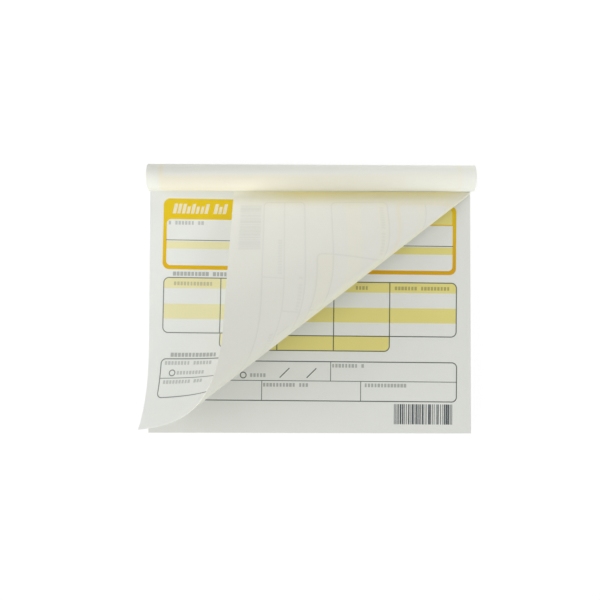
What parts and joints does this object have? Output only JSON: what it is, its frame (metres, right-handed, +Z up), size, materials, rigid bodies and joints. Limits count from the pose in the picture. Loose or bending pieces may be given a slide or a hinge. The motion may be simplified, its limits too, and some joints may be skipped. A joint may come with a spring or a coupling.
{
  "type": "cheque request pad",
  "caption": "Head-glued pad of ruled request forms on a backing board, with its top form rolled up along the head and the next one curled over.",
  "frame": {"origin": "middle of the backing board's underside, on which the pad lies", "axes": "+X to the right along the glued head, +Y towards the head, +Z up through the forms"},
  "size_m": [0.1417, 0.1156, 0.0461],
  "materials": {
    "paper": "uncoated, printed in yellow, gold and grey",
    "board": "raw grey board",
    "glue": "dried white padding glue, satin"
  },
  "bodies": {
    "pad": {"backing_board": "board", "head_glue": "glue", "form_09": "paper", "form_10": "paper", "form_11": "paper", "form_12": "paper", "form_13": "paper", "form_14": "paper", "form_15": "paper", "form_16": "paper", "form_17": "paper", "form_18": "paper", "form_19": "paper", "form_20": "paper", "form_21": "paper", "form_22": "paper", "form_23": "paper", "form_24": "paper", "form_25": "paper", "form_26": "paper", "form_27": "paper", "form_28": "paper", "form_29": "paper", "form_30": "paper", "form_31": "paper", "form_32": "paper", "form_33": "paper", "form_34": "paper", "form_35": "paper", "form_36": "paper", "form_37": "paper", "form_38": "paper", "form_39": "paper", "form_40": "paper", "form_41": "paper", "form_42": "paper", "form_43": "paper", "form_44": "paper", "form_45": "paper", "form_46": "paper", "form_47": "paper", "form_48": "paper", "form_49": "paper", "form_50": "paper"},
    "form_03": {"form_03": "paper"},
    "form_04": {"form_04": "paper"},
    "form_05": {"form_05": "paper"},
    "form_06": {"form_06": "paper"},
    "form_07": {"form_07": "paper"},
    "form_08": {"form_08": "paper"},
    "curled_form": {"form_02_curled": "paper"},
    "rolled_form": {"form_01_rolled": "paper"}
  },
  "joints": [
    {"name": "turn_form_03", "type": "hinge", "parent": "pad", "child": "form_03", "pos_m": [0, 0.054, 0.005], "axis": [-1, 0, 0], "range_deg": [0, 35]},
    {"name": "turn_form_04", "type": "hinge", "parent": "pad", "child": "form_04", "pos_m": [0, 0.054, 0.005], "axis": [-1, 0, 0], "range_deg": [0, 29.1]},
    {"name": "turn_form_05", "type": "hinge", "parent": "pad", "child": "form_05", "pos_m": [0, 0.054, 0.005], "axis": [-1, 0, 0], "range_deg": [0, 23.5]},
    {"name": "turn_form_06", "type": "hinge", "parent": "pad", "child": "form_06", "pos_m": [0, 0.054, 0.005], "axis": [-1, 0, 0], "range_deg": [0, 17.6]},
    {"name": "turn_form_07", "type": "hinge", "parent": "pad", "child": "form_07", "pos_m": [0, 0.054, 0.005], "axis": [-1, 0, 0], "range_deg": [0, 11.6]},
    {"name": "turn_form_08", "type": "hinge", "parent": "pad", "child": "form_08", "pos_m": [0, 0.054, 0.005], "axis": [-1, 0, 0], "range_deg": [0, 6]},
    {"name": "turn_curled_form", "type": "hinge", "parent": "form_03", "child": "curled_form", "pos_m": [0, 0.054, 0.005], "axis": [-1, 0, 0], "range_deg": [0, 30]},
    {"name": "turn_rolled_form", "type": "hinge", "parent": "curled_form", "child": "rolled_form", "pos_m": [0, 0.054, 0.005], "axis": [-1, 0, 0], "range_deg": [0, 25]}
  ],
  "couplings": [
    {"joint": "turn_form_04", "follows": "turn_form_03", "ratio": 0.83},
    {"joint": "turn_form_05", "follows": "turn_form_03", "ratio": 0.67},
    {"joint": "turn_form_06", "follows": "turn_form_03", "ratio": 0.5},
    {"joint": "turn_form_07", "follows": "turn_form_03", "ratio": 0.33},
    {"joint": "turn_form_08", "follows": "turn_form_03", "ratio": 0.17}
  ]
}
